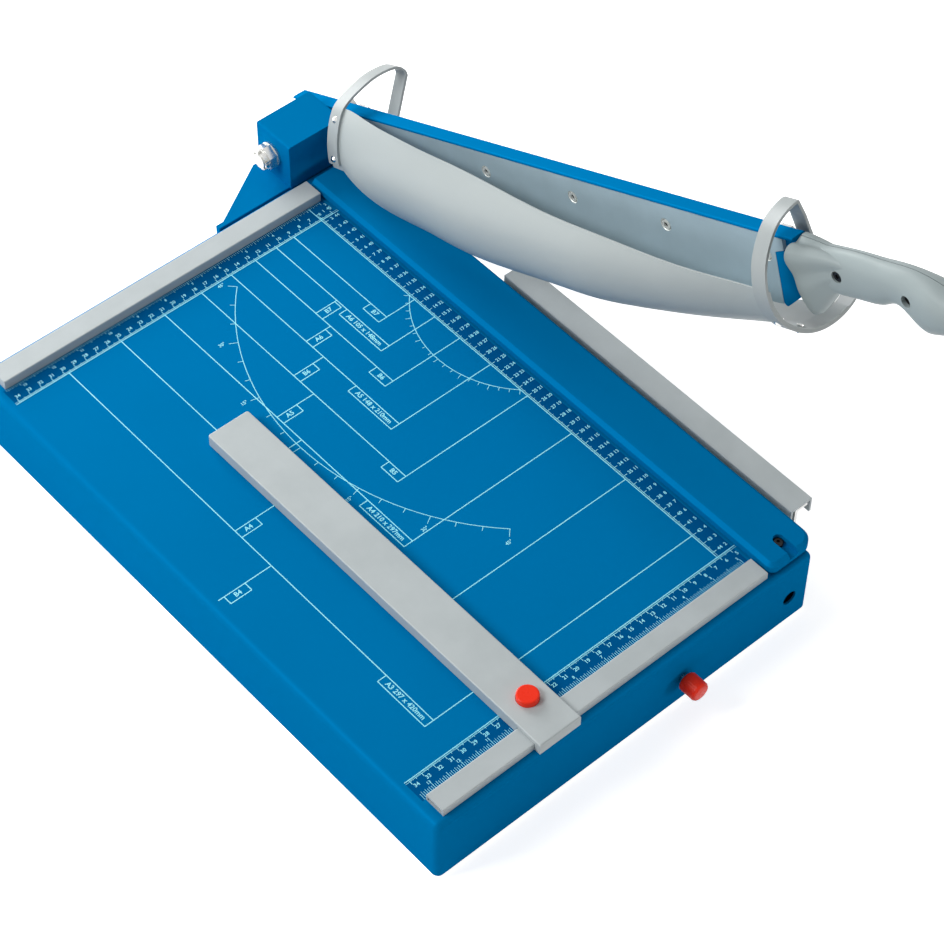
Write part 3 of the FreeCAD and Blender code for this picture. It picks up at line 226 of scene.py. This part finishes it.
# ------------------------------------------------------------------ prints on the table
CUT_X, STOP_Y, TOP_Z = 0.1795, 0.2295, 0.063
INK_Z, INK_T = TOP_Z + 0.00004, 0.00002
BAND_Z, BAND_T = TOP_Z + 0.00001, 0.00002
LAYER = 0.000003          # strokes that cross lie this much above each other
CAPITAL_SHARE = 0.70      # height of a capital as a share of the text size
BOLD_SHARE = 0.03         # thickening of the characters as a share of the capital


def solo():
    bpy.ops.object.select_all(action="DESELECT")


def place(obj):
    """Puts the object's place, turn and size into its mesh."""
    solo()
    obj.select_set(True)
    bpy.context.view_layer.objects.active = obj
    bpy.ops.object.transform_apply(location=True, rotation=True, scale=True)
    return obj


def patch(x0, x1, y0, y1, layer=0, low=INK_Z, thick=INK_T):
    """Flat bar between millimetre positions from the cut (x) and from the stop face (y)."""
    bpy.ops.mesh.primitive_cube_add(size=1.0, location=(
        CUT_X + (x0 + x1) / 2000, STOP_Y + (y0 + y1) / 2000, low + LAYER * layer + thick / 2),
        scale=(abs(x1 - x0) / 1000, abs(y1 - y0) / 1000, thick))
    return place(bpy.context.object)


def repeated(obj, count, step):
    """Copies a tick count times, step (x, y) in millimetres apart."""
    solo()
    obj.select_set(True)
    bpy.context.view_layer.objects.active = obj
    rows = obj.modifiers.new("rows", "ARRAY")
    rows.count = count
    rows.use_relative_offset = False
    rows.use_constant_offset = True
    rows.constant_offset_displace = (step[0] / 1000, step[1] / 1000, 0)
    bpy.ops.object.modifier_apply(modifier="rows")
    return obj


def label(body, x, y, size, turn=0.0):
    """Printed characters centred on x, y; size is the height of a capital in millimetres."""
    bpy.ops.object.text_add(location=(CUT_X + x / 1000, STOP_Y + y / 1000, INK_Z + INK_T / 2),
                            rotation=(0, 0, math.radians(turn)))
    obj = bpy.context.object
    obj.data.body = body
    obj.data.size = size / 1000 / CAPITAL_SHARE
    obj.data.align_x = "CENTER"
    obj.data.align_y = "CENTER"
    obj.data.resolution_u = 2
    obj.data.extrude = INK_T / 2
    obj.data.offset = size / 1000 * BOLD_SHARE
    bpy.ops.object.convert(target="MESH")
    return place(bpy.context.object)


def gather(parts, name, look):
    """Joins the parts into one print that lies on the table."""
    solo()
    for obj in parts:
        obj.select_set(True)
    bpy.context.view_layer.objects.active = parts[0]
    bpy.ops.object.join()
    obj = bpy.context.object
    obj.name = name
    obj.data.materials.clear()
    obj.data.materials.append(look)
    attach(obj, "base")
    return obj


LINE = 0.75                               # width of the sheet outlines
WIDE, THIN, SECOND_LINE = 0.6, 0.3, 1.5   # first and second line of a scale, and the distance between them
BACK_LINE, FRONT_LINE, CUT_LINE = -16.8, -445.0, -61.1
RULER_X = (-343.5, -44.5)
FENCE_FOOT, FRONT_FENCE_FOOT = -0.3, -463.2   # where the inch ticks of each ruler start
INCH = 25.4
# step, length and width of the ticks
CM_TICKS = ((1.0, 1.5, 0.3), (5.0, 2.6, 0.35), (10.0, 4.0, 0.45))
CUT_TICKS = ((1.0, 1.5, 0.3), (5.0, 2.6, 0.35), (10.0, 4.2, 0.45))
INCH_TICKS = ((INCH / 16, 2.0, 0.3), (INCH / 8, 2.7, 0.3), (INCH / 2, 3.6, 0.4))
FIRST_CM, LAST_CM = 5, 34
FIRST_INCH, LAST_INCH = 2, 13
INCH_FROM, INCH_TO = 50.0, 342.0          # millimetres from the cut
CM_DIGIT, INCH_DIGIT, CUT_DIGIT = 2.9, 2.3, 2.8
CM_ASIDE, CM_AWAY, INCH_AWAY = 2.0, 6.0, 5.0   # digits from their tick, and from the line or the fence


def ruler(base, side, fence, far, hidden, inch_at):
    """Ruler along a fence: centimetres on a double line, and inches whose feet the fence hides."""
    parts = [patch(*RULER_X, base - WIDE / 2, base + WIDE / 2),
             patch(*RULER_X, base + side * SECOND_LINE - THIN / 2, base + side * SECOND_LINE + THIN / 2)]
    for layer, (step, length, width) in enumerate(CM_TICKS):
        count = int((LAST_CM - FIRST_CM) * 10 / step) + 1
        tick = patch(-FIRST_CM * 10 - width / 2, -FIRST_CM * 10 + width / 2,
                     base, base + side * length, 2 + layer)
        parts.append(repeated(tick, count, (-step, 0)))
    for layer, (step, length, width) in enumerate(INCH_TICKS):
        start = math.ceil(INCH_FROM / step) * step
        count = int((INCH_TO - start) / step) + 1
        tick = patch(-start - width / 2, -start + width / 2,
                     fence, fence + far * (hidden + length), 2 + layer)
        parts.append(repeated(tick, count, (-step, 0)))
    for n in range(FIRST_CM, LAST_CM + 1):
        parts.append(label(str(n), -n * 10 + CM_ASIDE, base + side * CM_AWAY, CM_DIGIT))
    for n in range(FIRST_INCH, LAST_INCH + 1):
        y = fence + far * (hidden + INCH_AWAY)
        parts.append(label(str(n), -n * INCH + inch_at, y, INCH_DIGIT))
    return parts


CUT_CM = 46                               # centimetres between the fences
CUT_FROM, CUT_TO = 10, 440                # millimetres from the back fence
FROM_BACK_X, FROM_FRONT_X = -53.6, -48.5  # the two rows of digits


def cut_scale():
    """Scale beside the clamp bar: centimetres from the back fence and from the front fence."""
    parts = [patch(CUT_LINE - WIDE / 2, CUT_LINE + WIDE / 2, FRONT_LINE, -1.0, 1),
             patch(CUT_LINE + SECOND_LINE - THIN / 2, CUT_LINE + SECOND_LINE + THIN / 2,
                   FRONT_LINE, BACK_LINE, 1)]
    for layer, (step, length, width) in enumerate(CUT_TICKS):
        count = int((CUT_TO - CUT_FROM) / step) + 1
        tick = patch(CUT_LINE, CUT_LINE + length, -CUT_FROM - width / 2, -CUT_FROM + width / 2, 5 + layer)
        parts.append(repeated(tick, count, (0, -step)))
    for n in range(1, CUT_CM - 1):
        parts.append(label(str(n), FROM_BACK_X, -n * 10.0, CUT_DIGIT))
        parts.append(label(str(CUT_CM - n), FROM_FRONT_X, -n * 10.0, CUT_DIGIT))
    return parts


def across(x0, x1, y, layer=4):
    return patch(x0, x1, y - LINE / 2, y + LINE / 2, layer)


def down(x, y0, y1, layer=3):
    return patch(x - LINE / 2, x + LINE / 2, y0, y1, layer)


# name, width and height of the sheet, length of the name's box
PORTRAIT = [("B7", 88, 125, 18), ("A6 105 x 148mm", 105, 148, 48), ("B6", 125, 176, 18),
            ("A5 148 x 210mm", 148, 210, 48), ("B5", 176, 250, 18), ("A4 210 x 297mm", 210, 297, 48),
            ("B4", 250, 353, 18), ("A3 297 x 420mm", 297, 420, 48)]
# name, width and height of the sheet, where its line ends
LANDSCAPE = [("B7", 125, 88, 105), ("A6", 148, 105, 125), ("B6", 176, 125, 148), ("A5", 210, 148, 176),
             ("B5", 250, 176, 210), ("A4", 297, 210, 250)]
BOX, NAME_BOX = 7.6, 18.0              # height of a name's box and length of a short one
SHEET_NAME = 3.8
B4_HIGH, B4_LINE, B4_BOX = 250.0, (-343.0, -297.0), (-338.0, -320.0)


def sheets():
    """Outlines of the paper sizes, with their names in boxes hung on the lines."""
    parts = []
    for name, wide, high, length in PORTRAIT:
        parts += [down(-wide, -high, BACK_LINE), across(-wide - BOX, CUT_LINE, -high),
                  down(-wide - BOX, -high, -high + length), across(-wide - BOX, -wide, -high + length, 5)]
        parts.append(label(name, -wide - BOX / 2, -high + length / 2, SHEET_NAME, -90.0))
    for name, wide, high, end in LANDSCAPE:
        parts += [across(-wide, -end, -high), across(-wide, -wide + NAME_BOX, -high - BOX, 5),
                  down(-wide + NAME_BOX, -high - BOX, -high)]
        parts.append(label(name, -wide + NAME_BOX / 2, -high - BOX / 2, SHEET_NAME))
    parts += [across(*B4_LINE, -B4_HIGH), across(*B4_BOX, -B4_HIGH - BOX, 5)]
    parts += [down(x, -B4_HIGH - BOX, -B4_HIGH) for x in B4_BOX]
    parts.append(label("B4", sum(B4_BOX) / 2, -B4_HIGH - BOX / 2, SHEET_NAME))
    return parts


ARC_Y = -181.0                         # middle of the angle scale, along the cut
ARC_START, TICK_TURN, TICKS = 135.0, 5.0, 19   # degrees, degrees from tick to tick, number of ticks
NAMED = 3                              # every third tick is long and has a name
ARC_LINE, ARC_TICK, ANGLE_DIGIT = 0.6, 0.5, 2.8
# radius, short tick, long tick
OUTER_ARC, INNER_ARC = (215.0, 4.0, 7.0), (86.6, 3.0, 4.5)


def stroke(r, a, long, wide, layer):
    """Stroke long across an arc and wide along it, at radius r and angle a."""
    middle = (CUT_X + r * math.cos(a) / 1000, STOP_Y + (ARC_Y + r * math.sin(a)) / 1000,
              INK_Z + LAYER * layer + INK_T / 2)
    bpy.ops.mesh.primitive_cube_add(size=1.0, location=middle, rotation=(0, 0, a),
                                    scale=(long / 1000, wide / 1000, INK_T))
    return place(bpy.context.object)


def sweep(r, short, long, names):
    """Angle scale about the cut, five degrees a tick, fifteen degrees a name."""
    parts = []
    half = TICK_TURN / 2
    piece = math.radians(half) * r + 0.1
    for k in range(2 * (TICKS - 1)):
        a = math.radians(ARC_START + half * (k + 0.5))
        parts.append(stroke(r, a, ARC_LINE, piece, 7 + k % 2))
    for k in range(TICKS):
        a = math.radians(ARC_START + TICK_TURN * k)
        size = long if k % NAMED == 0 else short
        parts.append(stroke(r + size / 2, a, size, ARC_TICK, 9))
        if names and k % NAMED == 0 and k != TICKS // 2:
            at = r + long + 5.0
            name = "%d\u00b0" % abs(45 - 5 * k)
            parts.append(label(name, at * math.cos(a), ARC_Y + at * math.sin(a), ANGLE_DIGIT))
    return parts


BANDS_X, CUT_BAND_EDGE, FENCE_EDGE = (-343.5, -47.0), -46.5, -0.2


def prints():
    gather([patch(*BANDS_X, BACK_LINE, FENCE_EDGE, 0, BAND_Z, BAND_T),
            patch(*BANDS_X, FRONT_FENCE_FOOT, FRONT_LINE, 0, BAND_Z, BAND_T),
            patch(CUT_LINE, CUT_BAND_EDGE, FRONT_LINE, BACK_LINE, 1, BAND_Z, BAND_T)],
           "ruler_bands", band)
    gather(ruler(BACK_LINE, 1, FENCE_FOOT, -1, 0.0, 2.6), "back_ruler", ink)
    gather(ruler(FRONT_LINE, -1, FRONT_FENCE_FOOT, 1, 3.4, -0.9), "front_ruler", ink)
    gather(cut_scale(), "cut_scale", ink)
    gather(sheets(), "sheet_outlines", ink)
    gather(sweep(*OUTER_ARC, True) + sweep(*INNER_ARC, False), "angle_scale", ink)


# ------------------------------------------------------------------ knurled knob
FRONT_ROUNDING, FLUTE_RIM = 0.0016, 0.00008
SMOOTH = math.radians(35)              # edges under this angle are shaded smooth


def pick_faces(obj, test):
    """Selects the faces of the object in edit mode that pass the test of middle and normal."""
    bpy.ops.object.mode_set(mode="OBJECT")
    for face in obj.data.polygons:
        face.select = test(face.center, face.normal)
    bpy.ops.object.mode_set(mode="EDIT")


def knurled_knob(node="clamp_knob", flutes=36, groove=0.0003):
    """Moulded knob with fine flutes and a rounded front edge."""
    low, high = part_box(node)
    mid = [(a + b) / 2 for a, b in zip(low, high)]
    r, length = (high[0] - low[0]) / 2, high[1] - low[1]
    solo()
    bpy.ops.mesh.primitive_cylinder_add(vertices=2 * flutes, radius=r, depth=length, location=mid,
                                        rotation=(math.pi / 2, 0, 0))
    obj = place(bpy.context.object)
    bpy.ops.object.mode_set(mode="EDIT")
    bpy.ops.mesh.select_mode(type="FACE")
    pick_faces(obj, lambda c, n: n.y < -0.9)
    bpy.ops.mesh.bevel(offset=FRONT_ROUNDING, segments=4, affect="EDGES")
    step = math.pi / flutes
    pick_faces(obj, lambda c, n: abs(n.y) < 0.1 and c.y > low[1] + 0.002
               and int(round(math.atan2(c.z - mid[2], c.x - mid[0]) / step - 0.5)) % 2 == 0)
    bpy.ops.mesh.inset(thickness=FLUTE_RIM, depth=-groove, use_individual=True)
    bpy.ops.object.mode_set(mode="OBJECT")
    bpy.ops.object.shade_smooth_by_angle(angle=SMOOTH)
    obj.name = "knurled_knob"
    obj.data.materials.append(red)
    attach(obj, "knob")
    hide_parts(node)


# ------------------------------------------------------------------ blade screws
# steps of a head from its rim to its middle: inwards, and up or down
HEAD_STEPS = ((0.0002, 0), (0.0001, -0.0009), (0.0008, 0), (0.0001, 0.0009), (0.0017, 0), (0.0001, -0.0012))


def ringed_screws(node="blade_screws", count=5, head=0.0048, shank=0.003):
    """Countersunk screws with a groove round the head and a recess in it, both bottoms painted black as
    painted shade.
    """
    low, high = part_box(node)
    sink = head - shank
    pieces = []
    for k in range(count):
        share = k / (count - 1)
        y = high[1] - head - share * (high[1] - low[1] - 2 * head)
        z = low[2] + head + share * (high[2] - low[2] - 2 * head)
        solo()
        middle = ((low[0] + sink + high[0]) / 2, y, z)
        bpy.ops.mesh.primitive_cylinder_add(vertices=32, radius=shank, depth=high[0] - low[0] - sink,
                                            location=middle, rotation=(0, math.pi / 2, 0))
        pieces.append(place(bpy.context.object))
        bpy.ops.mesh.primitive_cone_add(vertices=48, radius1=head, radius2=shank, depth=sink,
                                        location=(low[0] + sink / 2, y, z), rotation=(0, math.pi / 2, 0))
        pieces.append(place(bpy.context.object))
        bpy.ops.object.mode_set(mode="EDIT")
        bpy.ops.mesh.select_mode(type="FACE")
        pick_faces(bpy.context.object, lambda c, n: n.x < -0.9)
        for thickness, depth in HEAD_STEPS:
            bpy.ops.mesh.inset(thickness=thickness, depth=depth)
        bpy.ops.object.mode_set(mode="OBJECT")
    solo()
    for obj in pieces:
        obj.select_set(True)
    bpy.ops.object.join()
    obj = bpy.context.object
    obj.name = "ringed_blade_screws"
    obj.data.materials.clear()
    obj.data.materials.append(bright_zinc)
    obj.data.materials.append(dark_steel)
    # the bottoms of the groove and the recess take the black oxide: painted shade in the hollows
    for face in obj.data.polygons:
        face.material_index = int(face.normal.x < -0.9 and face.center.x > low[0] + 0.0005)
    bpy.ops.object.shade_smooth_by_angle(angle=SMOOTH)
    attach(obj, "lever")
    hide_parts(node)


# ------------------------------------------------------------------ studio
# name, place, aim, size, power
LAMPS = [("key", (-1.7, 0.75, 1.75), (0, 0, 0.05), (1.0, 1.0), 37.0),
         ("back", (0.1, 2.0, 0.9), (0, 0, 0.1), (1.2, 1.2), 39.0),
         ("front", (0.9, -1.9, 0.3), (0, 0, 0.05), (0.5, 0.5), 6.5)]
SURROUND = 0.28          # level of the room as the object sees it
FLOOR_SIZE, FLOOR_GLOW = 14.0, 0.70


def background_level(tree, low, high):
    """Level that is high for the rays that show the background and low for those that light the object."""
    path = tree.nodes.new("ShaderNodeLightPath")
    shown = path.outputs["Is Camera Ray"]
    for ray in ("Is Glossy Ray", "Is Transmission Ray"):
        either = tree.nodes.new("ShaderNodeMath")
        either.operation = "MAXIMUM"
        tree.links.new(shown, either.inputs[0])
        tree.links.new(path.outputs[ray], either.inputs[1])
        shown = either.outputs["Value"]
    level = tree.nodes.new("ShaderNodeMapRange")
    tree.links.new(shown, level.inputs["Value"])
    level.inputs["To Min"].default_value = low
    level.inputs["To Max"].default_value = high
    return level.outputs["Result"]


def studio():
    bpy.ops.mesh.primitive_plane_add(size=FLOOR_SIZE, location=(0, 0, 0))
    floor = bpy.context.object
    floor.name = "floor"
    m = Build("studio_floor")
    m.colour(m.noise(2.0), (0.90, 0.90, 0.90), (0.92, 0.92, 0.92))
    m.shader.inputs["Roughness"].default_value = 0.9
    m.shader.inputs["Specular IOR Level"].default_value = 0.0
    m.shader.inputs["Emission Color"].default_value = (1, 1, 1, 1)
    m.link(background_level(m.tree, 0.0, FLOOR_GLOW), m.shader.inputs["Emission Strength"])
    floor.data.materials.append(m.mat)
    world = bpy.data.worlds.new("studio")
    scene.world = world
    world.use_nodes = True
    back = world.node_tree.nodes["Background"]
    back.inputs["Color"].default_value = (1, 1, 1, 1)
    world.node_tree.links.new(background_level(world.node_tree, SURROUND, 1.0), back.inputs["Strength"])
    for name, place_at, aim, size, power in LAMPS:
        bpy.ops.object.light_add(type="AREA", location=place_at)
        lamp = bpy.context.object
        lamp.name = name
        lamp.data.shape = "RECTANGLE"
        lamp.data.size, lamp.data.size_y = size
        lamp.data.energy = power
        lamp.rotation_euler = (Vector(aim) - Vector(place_at)).to_track_quat("-Z", "Y").to_euler()
    scene.view_settings.view_transform = "Standard"


camera()
dress()
prints()
knurled_knob()
ringed_screws()
studio()
